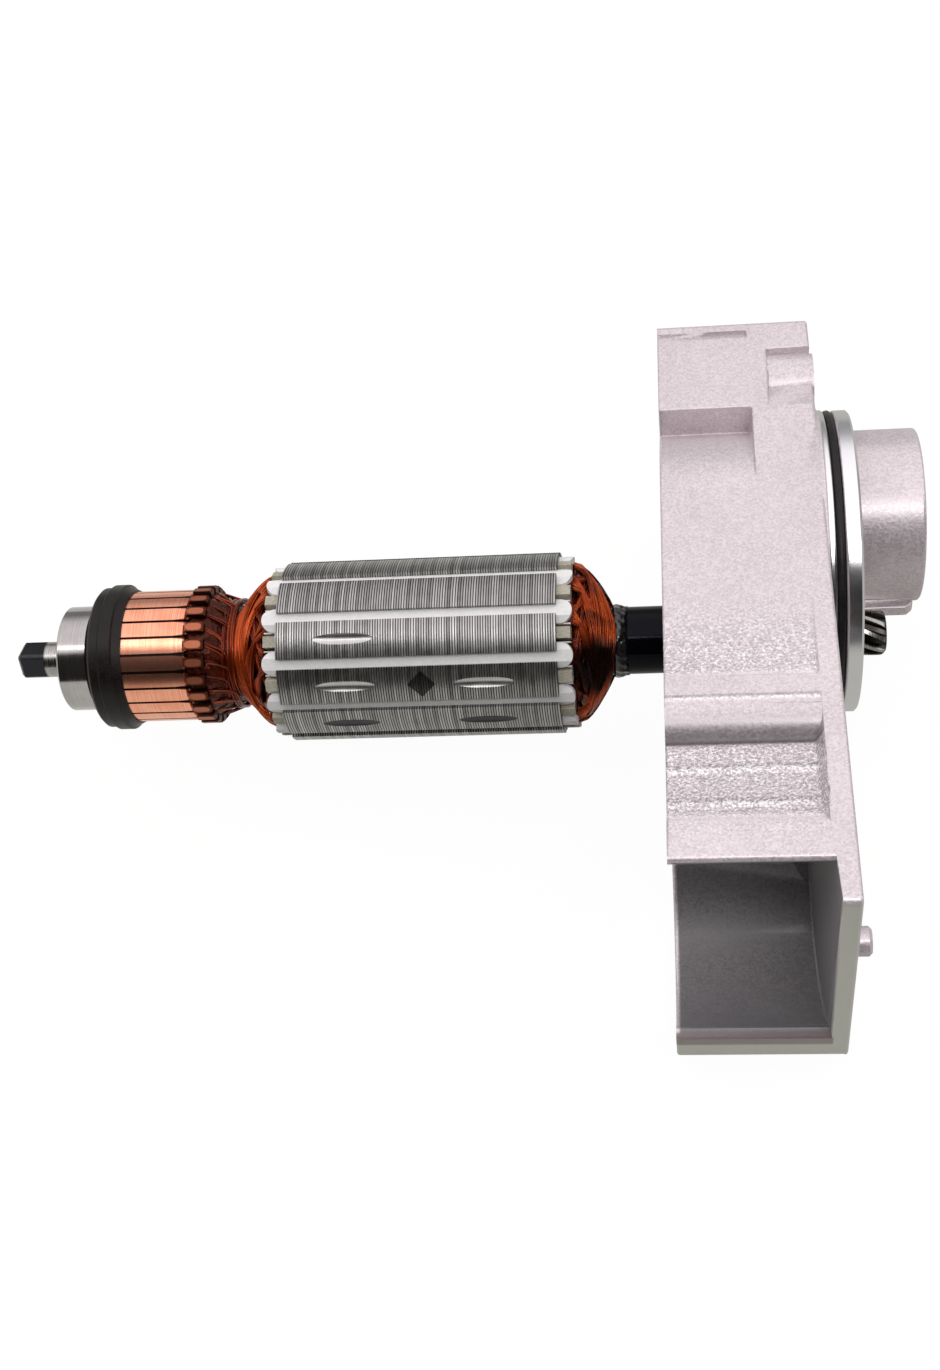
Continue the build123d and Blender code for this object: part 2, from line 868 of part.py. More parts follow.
with BuildPart() as side_cuts:
    with BuildSketch(Plane.YZ.offset(flange_left)):
        with BuildLine():
            step_z = sqrt(half_width**2 - (step_y - step_centre_y) ** 2)
            RadiusArc((step_centre_y, half_width), (step_y, step_z), half_width)
            Polyline((step_y, step_z), (step_y, flank), (step_centre_y, flank), (step_centre_y, half_width))
        make_face()
        with Locations(((groove_top_y + groove_foot_y) / 2, half_width)):
            Rectangle(groove_top_y - groove_foot_y, 2 * side_groove_depth)
    extrude(amount=step_depth)
    with BuildSketch(Plane.YZ.offset(flange_left + recess_start)):
        with BuildLine():
            Polyline(
                (recess_top_y, flank),
                (recess_top_y, half_width - recess_depth),
                (screw_top_y - 0.6 * screw_column_r, half_width - recess_depth),
                (step_y, half_width),
                (step_y, flank),
                close=True,
            )
        make_face()
    extrude(amount=housing_depth)

with BuildPart() as gear_housing:
    with BuildSketch(Plane.YZ.offset(flange_left)):
        with BuildLine():
            Polyline(
                (trough_y, -half_width),
                (top_y, -half_width),
                (top_y, half_width),
                (plate_foot_y, half_width),
                (plate_foot_y, 1.2 * trough_wall - half_width),
            )
            RadiusArc(
                (plate_foot_y, 1.2 * trough_wall - half_width), (trough_y, -half_width), -far_corner_r
            )
        make_face()
    extrude(amount=housing_depth)
    fillet(edges().filter_by(Axis.X).group_by(Axis.Y)[-1], 1.6)
    fillet(edges().filter_by(Axis.X).group_by(Axis.Z)[-1].sort_by(Axis.Y)[0], 1.5)
    fillet(faces().sort_by(Axis.X)[-1].edges(), edge_round)
    add(duct_plug.part, mode=Mode.SUBTRACT)
    add(valley_plug.part, mode=Mode.SUBTRACT)
    add(side_cuts.part, mode=Mode.SUBTRACT)
    mirror(side_cuts.part, about=Plane.XY, mode=Mode.SUBTRACT)

    # Screw columns beside the recesses and the round bulge behind the spigot
    with BuildSketch(Plane.YZ.offset(flange_left + recess_start - past)):
        with Locations((screw_top_y, screw_z), (screw_top_y, -screw_z)):
            Circle(screw_column_r)
    extrude(amount=land_left - flange_left - recess_start + past)
    with BuildSketch(Plane.XY):
        with BuildLine():
            Polyline(
                (flange_right - bulge_length, spigot_y),
                (flange_right - bulge_length, spigot_y + half_width - 0.1),
                (flange_right, spigot_y + spigot_paint_r),
                (land_left, spigot_y + spigot_paint_r),
                (land_left, spigot_y),
                close=True,
            )
        make_face()
    revolve(axis=Axis((0, spigot_y, 0), (1, 0, 0)))

    # Machined land, O-ring groove and disc
    for left, right, radius in (
        (land_left, groove_left, land_r),
        (groove_left, disc_left, land_r - groove_depth),
        (disc_left, disc_right, disc_r),
    ):
        with BuildSketch(Plane.YZ.offset(left)):
            with Locations((spigot_y, 0)):
                Circle(radius)
        extrude(amount=right - left)
    chamfer(edges().filter_by(GeomType.CIRCLE).group_by(Axis.X)[-1], 0.5)

    # Gear boss and its lug
    with BuildSketch(Plane.YZ.offset(disc_right)):
        with Locations((boss_y, 0)):
            Circle(boss_r)
    extrude(amount=boss_reach)
    fillet(edges().filter_by(GeomType.CIRCLE).group_by(Axis.X)[-1], 0.8)
    lug_root_y = boss_y - sqrt(boss_r**2 - lug_z**2)
    with BuildSketch(Plane.XY.offset(lug_z)):
        with BuildLine():
            Polyline(
                (disc_right - past, lug_root_y - lug_drop),
                (disc_right + lug_reach - lug_slope, lug_root_y - lug_drop),
                (disc_right + lug_reach, lug_root_y - lug_drop + lug_slope),
                (disc_right + lug_reach, lug_root_y + lug_half),
                (disc_right - past, lug_root_y + lug_half),
                close=True,
            )
        make_face()
    extrude(amount=lug_half, both=True)
    with BuildSketch(Plane.YZ.offset(flange_right - past)):
        with Locations((nub_y, nub_z)):
            Circle(nub_r)
    extrude(amount=nub_height + past)
    nub_rims = edges().filter_by(GeomType.CIRCLE).filter_by(lambda rim: abs(rim.radius - nub_r) < 0.001)
    chamfer(nub_rims.sort_by(Axis.X)[-1], nub_bevel)

    # Hollows open to the motor side
    with BuildSketch(Plane.YZ.offset(flange_left)):
        Circle(fan_chamber_r)
        with Locations((-fan_chamber_r, 0)):
            Rectangle(2 * (-duct_ceiling_y - fan_chamber_r) + past, 2 * passage_half)
        with Locations(((top_hollow_foot_y + top_y - wall) / 2, 0)):
            Rectangle(top_y - wall - top_hollow_foot_y, 2 * top_hollow_half)
    extrude(amount=fan_chamber_depth, mode=Mode.SUBTRACT)
    with BuildSketch(Plane.YZ.offset(hub_left)):
        Circle(seat_bore_r + bearing_hub_wall)
    extrude(amount=chamber_right - hub_left)

    # Bores on the armature axis
    for left, right, radius in (
        (hub_left, seat_right, seat_bore_r),
        (circlip_left - seat_gap, seat_left, circlip_outer_r + seat_gap),
        (seat_right, seal_right, seal_outer_r),
        (seal_right, disc_right, pinion_hole_r),
    ):
        with BuildSketch(Plane.YZ.offset(left)):
            Circle(radius)
        extrude(amount=right - left, mode=Mode.SUBTRACT)
    with BuildSketch(Plane.YZ.offset(boss_right - boss_bore_depth)):
        with Locations((boss_y, 0)):
            Circle(boss_bore_r)
    extrude(amount=boss_bore_depth, mode=Mode.SUBTRACT)
    with BuildSketch(Plane.YZ.offset(flange_left)):
        for screw_y in (screw_top_y, screw_foot_y):
            with Locations((screw_y, screw_z), (screw_y, -screw_z)):
                Circle(screw_r)
    extrude(amount=housing_depth + past, mode=Mode.SUBTRACT)
keep(gear_housing, "gear_housing")
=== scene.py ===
import json
import math
import bmesh
import bpy
import numpy as np
from mathutils import Matrix, Vector


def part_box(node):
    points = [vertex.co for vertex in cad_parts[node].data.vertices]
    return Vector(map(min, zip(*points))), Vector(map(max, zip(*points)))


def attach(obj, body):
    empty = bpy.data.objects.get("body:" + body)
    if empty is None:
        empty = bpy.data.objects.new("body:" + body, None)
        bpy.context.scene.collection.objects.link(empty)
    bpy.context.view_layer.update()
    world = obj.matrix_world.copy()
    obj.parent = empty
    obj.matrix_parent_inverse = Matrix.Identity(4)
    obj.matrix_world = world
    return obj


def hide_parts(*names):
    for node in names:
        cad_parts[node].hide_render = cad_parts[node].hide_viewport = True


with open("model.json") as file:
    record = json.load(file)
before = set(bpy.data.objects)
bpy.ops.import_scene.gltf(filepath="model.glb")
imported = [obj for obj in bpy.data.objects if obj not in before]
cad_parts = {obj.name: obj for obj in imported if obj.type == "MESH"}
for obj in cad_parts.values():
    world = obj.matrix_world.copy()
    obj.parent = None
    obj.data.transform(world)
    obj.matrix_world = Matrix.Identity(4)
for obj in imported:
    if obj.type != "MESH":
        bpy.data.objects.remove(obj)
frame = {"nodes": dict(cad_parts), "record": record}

# Motor armature seated in its die-cast gear flange.
# X runs along the armature from commutator to pinion and Z is up, in metres.

nodes = frame["nodes"]
slots = {entry["node"]: entry["material_slot"] for entry in frame["record"]["subparts"]}
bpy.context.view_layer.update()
rng = np.random.default_rng(7)
finishes = {}


# ---- Sizes read from the frame, and named places ----

def metres(value):
    """Millimetres to metres."""
    return value * 0.001


stack_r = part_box("lamination_stack")[1][1]
neck_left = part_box("winding_commutator_end")[0][0]
head_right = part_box("winding_drive_end")[1][0]
wedge_low, wedge_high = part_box("slot_wedges")
wedge_left, wedge_right = wedge_low[0], wedge_high[0]
hook_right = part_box("commutator_bar_01")[1][0]
spigot_low, spigot_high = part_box("spigot_o_ring")
spigot_y = (spigot_low[1] + spigot_high[1]) / 2

full_turn = 2 * math.pi
slot_count = 12
slot_pitch = full_turn / slot_count
first_slot = math.radians(17.17)
slots_spanned = 5
bar_count = 24
bar_phase = math.radians(0.5)
hook_inner_r = metres(14.5)
shaft_r = metres(6.0)
neck_r = metres(11.6)
drive_end_r = metres(8.6)
head_top_r = metres(18.2)
wire_r = metres(0.21)
lead_wire_r = metres(0.27)
sheet_pitch = metres(0.56)
edge_rounding = metres(0.55)


# ---- Mesh helpers ----

def grid_faces(rows, columns, wrap_rows, wrap_columns):
    """Quads joining each point of a grid to the next row and the next column."""
    row = np.arange(rows if wrap_rows else rows - 1)
    column = np.arange(columns if wrap_columns else columns - 1)
    i, j = np.meshgrid(row, column, indexing="ij")
    i2, j2 = (i + 1) % rows, (j + 1) % columns
    corners = [i * columns + j, i2 * columns + j, i2 * columns + j2, i * columns + j2]
    return np.stack(corners, -1).reshape(-1, 4)


def round_axis(x, radius, turn):
    """Points about the armature axis: x as given, y is radius cos(turn) and z is radius sin(turn)."""
    x, radius, turn = np.broadcast_arrays(x, radius, turn)
    return np.stack([x, radius * np.cos(turn), radius * np.sin(turn)], -1)


def mesh_piece(name, points, faces, body, slot, shade=None, finish=None):
    """A smooth mesh from arrays, riding on a body; shade is a number kept for each point."""
    data = bpy.data.meshes.new(name)
    data.from_pydata(points.reshape(-1, 3), [], faces.tolist())
    if shade is not None:
        layer = data.attributes.new("shade", "FLOAT", "POINT")
        layer.data.foreach_set("value", np.ascontiguousarray(shade, dtype=np.float32).ravel())
    data.polygons.foreach_set("use_smooth", np.ones(len(data.polygons), dtype=bool))
    data.update()
    data.materials.append(finishes[finish or slot])
    piece = bpy.data.objects.new(name, data)
    bpy.context.scene.collection.objects.link(piece)
    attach(piece, body)
    return piece


def wires(name, paths, radius, shade, sides=6):
    """Round wires along many paths at once.

    Each path point carries a ring of points: the path plus radius times
    cos(angle) of the side direction plus sin(angle) of the lift direction,
    where side is the path's direction crossed with the outward radius and
    lift is side crossed with the direction. The end rings are drawn in to
    0.3 of the radius.
    """
    count, length, _ = paths.shape
    along = np.gradient(paths, axis=1)
    along /= np.linalg.norm(along, axis=2, keepdims=True)
    outward = paths * (0, 1, 1)
    side = np.cross(along, outward)
    side /= np.linalg.norm(side, axis=2, keepdims=True) + 1e-12
    lift = np.cross(side, along)
    angles = np.linspace(0, full_turn, sides, endpoint=False)[None, None, :, None]
    narrowing = np.ones(length)
    narrowing[[0, -1]] = 0.3
    ring = np.cos(angles) * side[:, :, None] + np.sin(angles) * lift[:, :, None]
    points = paths[:, :, None] + radius * narrowing[None, :, None, None] * ring
    one = grid_faces(length, sides, False, True)[:, ::-1]
    faces = (one[None] + (np.arange(count) * length * sides)[:, None, None]).reshape(-1, 4)
    tones = np.broadcast_to(np.asarray(shade)[:, None, None], (count, length, sides))
    return mesh_piece(name, points, faces, "armature", "winding_wire", tones)


def lathe(name, outline, turns, swell, slot, finish=None):
    """A closed form turned about X: each outline point (x, radius) goes round the axis
    at even angles, with its radius raised by swell(x, angle)."""
    angle = np.linspace(0, full_turn, turns, endpoint=False)[None, :]
    x = np.repeat(outline[:, :1], turns, axis=1)
    points = round_axis(x, outline[:, 1:] + swell(x, angle), angle)
    faces = grid_faces(len(outline), turns, True, True)
    return mesh_piece(name, points, faces, "armature", slot, finish=finish)


def lumps(size, seed, turns=7):
    """A swell over angle and x: size times the mean of five sine waves, whose whole numbers of
    waves round the axis are picked from 3 up to turns plus 3."""
    picks = np.random.default_rng(seed)
    rates = picks.integers(3, turns + 4, 5)
    shifts = picks.uniform(0, full_turn, 5)
    tilts = picks.uniform(-2500, 2500, 5)

    def swell(x, angle):
        waves = [np.sin(r * angle + s + t * x) for r, s, t in zip(rates, shifts, tilts)]
        return size * np.mean(waves, axis=0)
    return swell


# ---- Material helpers ----

def add_node(tree, kind, inputs=(), **settings):
    """A shader node. Inputs map a socket's name or index to a number, a colour or a node's output."""
    made = tree.nodes.new(kind)
    for name, value in settings.items():
        setattr(made, name, value)
    for key, value in dict(inputs).items():
        if isinstance(value, bpy.types.NodeSocket):
            tree.links.new(value, made.inputs[key])
        else:
            made.inputs[key].default_value = value
    return made


def calc(tree, operation, *values, clamp=False):
    """One Math node and its result."""
    made = add_node(tree, "ShaderNodeMath", enumerate(values), operation=operation, use_clamp=clamp)
    return made.outputs[0]


def times(tree, product, *others):
    """Masks and numbers multiplied together."""
    for other in others:
        product = calc(tree, "MULTIPLY", product, other)
    return product


def scaled(tree, value, gain, start):
    """A value times gain, plus start."""
    return calc(tree, "MULTIPLY_ADD", value, gain, start)


def weighed(tree, first, share, second):
    """The first value by its share, plus the second by the rest."""
    return scaled(tree, first, share, times(tree, second, 1 - share))


def larger(tree, first, second):
    """The larger of two masks at each point."""
    return calc(tree, "MAXIMUM", first, second)


def ramp(tree, value, low, high):
    """0 where value is at low, 1 where it is at high, smooth between."""
    made = add_node(
        tree, "ShaderNodeMapRange", {"Value": value, "From Min": low, "From Max": high},
        interpolation_type="SMOOTHSTEP",
    )
    return made.outputs[0]


def ramp_mm(tree, value, low, high):
    """A ramp with its ends in millimetres."""
    return ramp(tree, value, metres(low), metres(high))


def band_mm(tree, value, start, full, last, end):
    """1 from full to last, falling to 0 at start and at end, all in millimetres."""
    return times(tree, ramp_mm(tree, value, start, full), ramp_mm(tree, value, end, last))


def line_mm(tree, value, place, width):
    """1 where value is at a place, falling to 0 at a width either side, in millimetres."""
    away = calc(tree, "ABSOLUTE", calc(tree, "SUBTRACT", value, metres(place)))
    return ramp_mm(tree, away, width, 0.0)


def blend(tree, share, first, second):
    """Colour mixed from first to second by share."""
    made = add_node(tree, "ShaderNodeMix", {0: share, 6: first, 7: second}, data_type="RGBA")
    return made.outputs[2]


def grain(tree, place, size, detail=2.0):
    """Noise whose blotches are about size metres across."""
    made = add_node(tree, "ShaderNodeTexNoise", {"Vector": place, "Scale": 1 / size, "Detail": detail})
    return made.outputs[0]


def turned_lines(tree, x, size):
    """Noise that changes along X only, in lines about size metres wide."""
    made = add_node(
        tree, "ShaderNodeTexNoise", {"W": x, "Scale": 1 / size, "Detail": 2.0}, noise_dimensions="1D"
    )
    return made.outputs[0]


def bump(tree, height, depth, under=None):
    """A bump of a depth in metres, laid over another bump's normal."""
    inputs = {"Height": height, "Distance": depth, "Strength": 1.0}
    if under is not None:
        inputs["Normal"] = under
    return add_node(tree, "ShaderNodeBump", inputs).outputs[0]


def new_finish(name, **shader):
    """A Principled material with plain numbers on the shader's sockets, its tree and its object place."""
    made = bpy.data.materials.new(name)
    made.use_nodes = True
    bsdf = made.node_tree.nodes["Principled BSDF"]
    for socket, value in shader.items():
        bsdf.inputs[socket.replace("_", " ")].default_value = value
    place = add_node(made.node_tree, "ShaderNodeTexCoord").outputs["Object"]
    finishes[name] = made
    return made.node_tree, bsdf, place


def link(tree, bsdf, **sockets):
    """Joins node outputs to the shader's sockets."""
    for socket, value in sockets.items():
        tree.links.new(value, bsdf.inputs[socket.replace("_", " ")])


def axis_parts(tree, place):
    """X, Y, Z and the radius about the armature axis."""
    x, y, z = add_node(tree, "ShaderNodeSeparateXYZ", {0: place}).outputs
    squares = calc(tree, "ADD", calc(tree, "POWER", y, 2.0), calc(tree, "POWER", z, 2.0))
    return x, y, z, calc(tree, "SQRT", squares)


def turned_about(tree, y, z, angle):
    """How far a point lies across and along a direction that stands at an angle round the axis."""
    across = calc(tree, "ADD", times(tree, y, -math.sin(angle)), times(tree, z, math.cos(angle)))
    outward = calc(tree, "ADD", times(tree, y, math.cos(angle)), times(tree, z, math.sin(angle)))
    return across, outward


def grained_finish(name, low, high, size_mm, rough_low, rough_high, depth_mm, **shader):
    """A finish whose colour, roughness and surface vary with one fine noise and one broad one."""
    tree, bsdf, place = new_finish(name, **shader)
    fine = grain(tree, place, metres(size_mm), 3.0)
    broad = grain(tree, place, 12 * metres(size_mm))
    share = ramp(tree, weighed(tree, fine, 0.6, broad), 0.35, 0.65)
    rough = scaled(tree, share, rough_high - rough_low, rough_low)
    relief = bump(tree, fine, metres(depth_mm))
    link(tree, bsdf, Base_Color=blend(tree, share, (*low, 1), (*high, 1)), Roughness=rough, Normal=relief)


def turned_finish(name, low, high, line_width_mm, rough_low, rough_high, depth_mm):
    """Metal with fine turned lines round the axis: noise that changes along X, over a broad stain."""
    tree, bsdf, place = new_finish(name, Metallic=1.0)
    x = axis_parts(tree, place)[0]
    lines = turned_lines(tree, x, metres(line_width_mm))
    stain = grain(tree, place, metres(5), 3.0)
    share = ramp(tree, weighed(tree, lines, 0.5, stain), 0.35, 0.65)
    rough = scaled(tree, share, rough_high - rough_low, rough_low)
    colour = blend(tree, share, (*low, 1), (*high, 1))
    link(tree, bsdf, Base_Color=colour, Roughness=rough, Normal=bump(tree, lines, metres(depth_mm)))
    return tree, bsdf, place, colour


# ---- Finishes that are the same all over ----

grained_finish(
    "black_sleeve", (0.001, 0.001, 0.002), (0.003, 0.003, 0.006), 1.5, 0.10, 0.18, 0.012,
    Specular_IOR_Level=0.12, Specular_Tint=(0.85, 0.85, 1.0, 1),
)
grained_finish("cream_fibre", (0.34, 0.32, 0.25), (0.52, 0.49, 0.40), 0.5, 0.5, 0.7, 0.02)
grained_finish("insulating_paper", (0.74, 0.73, 0.70), (0.82, 0.81, 0.78), 0.5, 0.5, 0.65, 0.01)
grained_finish("white_fibre", (0.80, 0.80, 0.79), (0.88, 0.88, 0.87), 0.6, 0.42, 0.55, 0.01)
grained_finish(
    "black_moulding", (0.004, 0.003, 0.003), (0.016, 0.011, 0.010), 0.4, 0.34, 0.5, 0.015,
    Specular_IOR_Level=0.25,
)
grained_finish("fan_plastic", (0.018, 0.018, 0.018), (0.035, 0.035, 0.035), 0.3, 0.4, 0.6, 0.02)
grained_finish("cage_steel", (0.42, 0.41, 0.38), (0.55, 0.54, 0.50), 0.4, 0.3, 0.45, 0.005, Metallic=1.0)
grained_finish("shield_steel", (0.42, 0.42, 0.42), (0.58, 0.58, 0.58), 0.5, 0.25, 0.4, 0.005, Metallic=1.0)
grained_finish("spring_steel", (0.08, 0.08, 0.08), (0.17, 0.17, 0.17), 0.4, 0.3, 0.5, 0.01, Metallic=1.0)
grained_finish(
    "black_rubber", (0.004, 0.004, 0.004), (0.014, 0.013, 0.013), 0.5, 0.3, 0.5, 0.01,
    Specular_IOR_Level=0.3,
)
grained_finish(
    "brown_resin", (0.010, 0.002, 0.001), (0.075, 0.012, 0.005), 1.1, 0.05, 0.18, 0.4,
    Specular_IOR_Level=0.35, Specular_Tint=(1.0, 0.42, 0.34, 1), Coat_Weight=0.03, Coat_Roughness=0.03,
)
grained_finish(
    "black_resin", (0.003, 0.003, 0.003), (0.010, 0.009, 0.008), 0.9, 0.05, 0.2, 0.2,
    Coat_Weight=0.6, Coat_Roughness=0.05,
)
turned_finish("bearing_steel", (0.38, 0.36, 0.355), (0.48, 0.46, 0.455), 0.25, 0.1, 0.16, 0.001)


# ---- Finishes that change from place to place ----

def shaft_steel():
    """Steel blued at the square end, ground between, with bright lands and painted shade darkening the roots
    between the pinion's teeth.
    """
    tree, bsdf, place, colour = turned_finish(
        "ground_steel", (0.30, 0.29, 0.28), (0.48, 0.47, 0.45), 0.3, 0.18, 0.34, 0.003
    )
    x, _, _, radius = axis_parts(tree, place)
    square_end = ramp_mm(tree, x, -9.0, -9.6)
    # Painted shade: the roots between the pinion's teeth are made dark.
    shaded_pinion_roots = times(tree, ramp_mm(tree, x, 168, 169), ramp_mm(tree, radius, 4.9, 4.5))
    colour = blend(tree, square_end, colour, (0.032, 0.033, 0.038, 1))
    colour = blend(tree, shaded_pinion_roots, colour, (0.05, 0.045, 0.04, 1))
    link(tree, bsdf, Base_Color=colour)


def commutator_copper():
    """Turned copper with dark gaps between the bars, and brown varnish over the hooks.

    The place round the axis is counted in bars, so a point's distance from the
    middle of its bar is 0 to 0.5. The gaps widen towards the hooks. A hook's bright
    patch ends where u^3 + v^3 comes to 1, with u along X and v round the bar.
    """
    tree, bsdf, place, colour = turned_finish(
        "commutator_copper", (0.87, 0.325, 0.20), (0.97, 0.47, 0.31), 0.35, 0.2, 0.32, 0.003
    )
    x, y, z, radius = axis_parts(tree, place)
    bars_a_radian = bar_count / full_turn
    around = calc(tree, "ARCTAN2", z, y)
    counted = scaled(tree, around, bars_a_radian, bar_count + 0.5 - bar_phase * bars_a_radian)
    from_middle = calc(tree, "ABSOLUTE", calc(tree, "SUBTRACT", calc(tree, "FRACT", counted), 0.5))
    widening = times(tree, ramp_mm(tree, x, 24.0, 27.0), 0.06)
    bar_gap = ramp(tree, calc(tree, "ADD", from_middle, widening), 0.41, 0.44)

    hook_middle, half_length, half_width = metres(29.25), metres(2.0), 0.225
    along_hook = calc(tree, "DIVIDE", calc(tree, "SUBTRACT", x, hook_middle), half_length)
    over_hook = calc(tree, "DIVIDE", from_middle, half_width)
    cubes = calc(
        tree, "ADD", calc(tree, "POWER", calc(tree, "ABSOLUTE", along_hook), 3.0),
        calc(tree, "POWER", over_hook, 3.0),
    )
    varnished = ramp_mm(tree, x, 26.8, 27.6)
    hook_rim = times(tree, varnished, ramp(tree, cubes, 0.55, 1.0), 0.85)
    under_hooks = times(tree, varnished, ramp_mm(tree, radius, 15.75, 15.2))
    dark = larger(tree, larger(tree, under_hooks, hook_rim), times(tree, bar_gap, 0.9))
    colour = blend(tree, times(tree, varnished, 0.85), colour, (0.36, 0.105, 0.05, 1))
    colour = blend(tree, dark, colour, (0.06, 0.014, 0.008, 1))
    link(tree, bsdf, Base_Color=colour, Roughness=scaled(tree, varnished, 0.2, 0.26))


def lamination_steel():
    """The ground stack: a light line for each sheet's edge and a dark gap between, milled balancing grooves
    with painted shade in the lower ones, and a plain dark diamond etched on one tooth."""
    tree, bsdf, place = new_finish("lamination_steel", Metallic=1.0)
    x, y, z, radius = axis_parts(tree, place)
    counted = calc(tree, "DIVIDE", x, sheet_pitch)
    within = calc(tree, "FRACT", counted)
    number = calc(tree, "FLOOR", counted)
    gap = calc(tree, "ADD", ramp(tree, within, 0.38, 0.18), ramp(tree, within, 0.82, 1.0), clamp=True)

    # Over every four sheets the brightness goes middle, high, middle, low, and chance is added
    fourth = scaled(tree, calc(tree, "SINE", times(tree, number, math.pi / 2)), 0.5, 0.5)
    chance = add_node(tree, "ShaderNodeTexWhiteNoise", {"W": number}, noise_dimensions="1D").outputs[0]
    smear = grain(tree, place, metres(2.5), 4.0)
    sheet_tone = scaled(tree, weighed(tree, fourth, 0.45, chance), 0.5, scaled(tree, smear, 0.35, 0.05))
    colour = blend(tree, sheet_tone, (0.07, 0.068, 0.067, 1), (0.76, 0.745, 0.73, 1))
    colour = blend(tree, times(tree, gap, 0.95), colour, (0.015, 0.014, 0.014, 1))

    # Milled grooves: points a little below the ground surface that still face outwards
    normal = add_node(tree, "ShaderNodeTexCoord").outputs["Normal"]
    from_axis = add_node(tree, "ShaderNodeCombineXYZ", {1: y, 2: z}).outputs[0]
    outwards = add_node(tree, "ShaderNodeVectorMath", {0: from_axis}, operation="NORMALIZE").outputs[0]
    facing = add_node(tree, "ShaderNodeVectorMath", {0: normal, 1: outwards}, operation="DOT_PRODUCT")
    milled = times(
        tree,
        ramp(tree, radius, stack_r - metres(0.02), stack_r - metres(0.05)),
        ramp(tree, radius, stack_r - metres(0.8), stack_r - metres(0.6)),
        ramp(tree, facing.outputs["Value"], 0.7, 0.85),
    )
    colour = blend(tree, times(tree, milled, 0.8), colour, (0.62, 0.61, 0.60, 1))
    # Painted shade: grooves lower than about 5 mm above the axis face away from the light and are painted
    # dark
    shaded_grooves = times(tree, milled, ramp_mm(tree, z, 5.5, 4.5))
    colour = blend(tree, shaded_grooves, colour, (0.07, 0.07, 0.075, 1))

    mark_x, mark_angle, mark_half = metres(80.7), math.radians(152.17), metres(3.2)
    across, outward = turned_about(tree, y, z, mark_angle)
    from_mark = calc(
        tree, "ADD", calc(tree, "ABSOLUTE", calc(tree, "SUBTRACT", x, mark_x)), calc(tree, "ABSOLUTE", across)
    )
    marked = times(
        tree, ramp(tree, from_mark, mark_half, mark_half - metres(0.15)), ramp_mm(tree, outward, 0.0, 1.0)
    )
    colour = blend(tree, times(tree, marked, 0.85), colour, (0.02, 0.018, 0.017, 1))
    relief = calc(tree, "SUBTRACT", 1.0, times(tree, gap, scaled(tree, milled, -0.8, 1.0)))
    link(
        tree, bsdf, Base_Color=colour, Roughness=scaled(tree, smear, 0.2, 0.22),
        Normal=bump(tree, relief, metres(0.05)),
    )


def winding_wire():
    """Enamelled copper wire, lighter or darker by its shade value: the wire's own tone, and on the coil heads
    also painted shade that darkens the deeper coils; with varnish in patches and painted dark reflections on
    the drive end's dome.
    """
    tree, bsdf, place = new_finish(
        "winding_wire", Metallic=0.7, Specular_IOR_Level=0.25, Coat_Weight=0.18, Coat_Roughness=0.08
    )
    tone = add_node(tree, "ShaderNodeAttribute", attribute_name="shade").outputs["Fac"]
    pooled = ramp(tree, grain(tree, place, metres(5), 3.0), 0.48, 0.68)
    colour = blend(tree, tone, (0.11, 0.011, 0.004, 1), (0.76, 0.115, 0.016, 1))
    colour = blend(tree, times(tree, pooled, 0.7), colour, (0.04, 0.007, 0.004, 1))
    # Painted dark reflection in two patches on the drive end's dome, where the glossy wire faces the dark
    # side of the room: centre, inner and outer radius
    for centre, inner, outer in (((118.6, -12.0, 6.0), 6.0, 10.5), ((121.0, 11.0, 7.0), 3.5, 6.0)):
        middle = tuple(metres(part) for part in centre)
        away = add_node(tree, "ShaderNodeVectorMath", {0: place, 1: middle}, operation="DISTANCE")
        uneven = scaled(tree, grain(tree, place, metres(3)), metres(3), away.outputs["Value"])
        painted_dark_reflection = times(tree, ramp_mm(tree, uneven, outer, inner), 0.97)
        colour = blend(tree, painted_dark_reflection, colour, (0.008, 0.003, 0.002, 1))
    link(tree, bsdf, Base_Color=colour, Roughness=scaled(tree, pooled, -0.1, 0.28))


def duct_inside(tree, x, y, z):
    """1 inside the duct: behind its mouth, under its stepped roof and left of the plate."""
    roof = scaled(tree, ramp_mm(tree, y, -66, -70.5), metres(3.9), metres(28.4))
    return times(
        tree,
        band_mm(tree, y, -86.8, -86.0, -49.8, -49.2),
        band_mm(tree, x, 133.9, 134.6, 164.4, 164.8),
        ramp_mm(tree, calc(tree, "SUBTRACT", z, roof), 0.4, 0.0),
        ramp_mm(tree, z, -32, -30),
    )


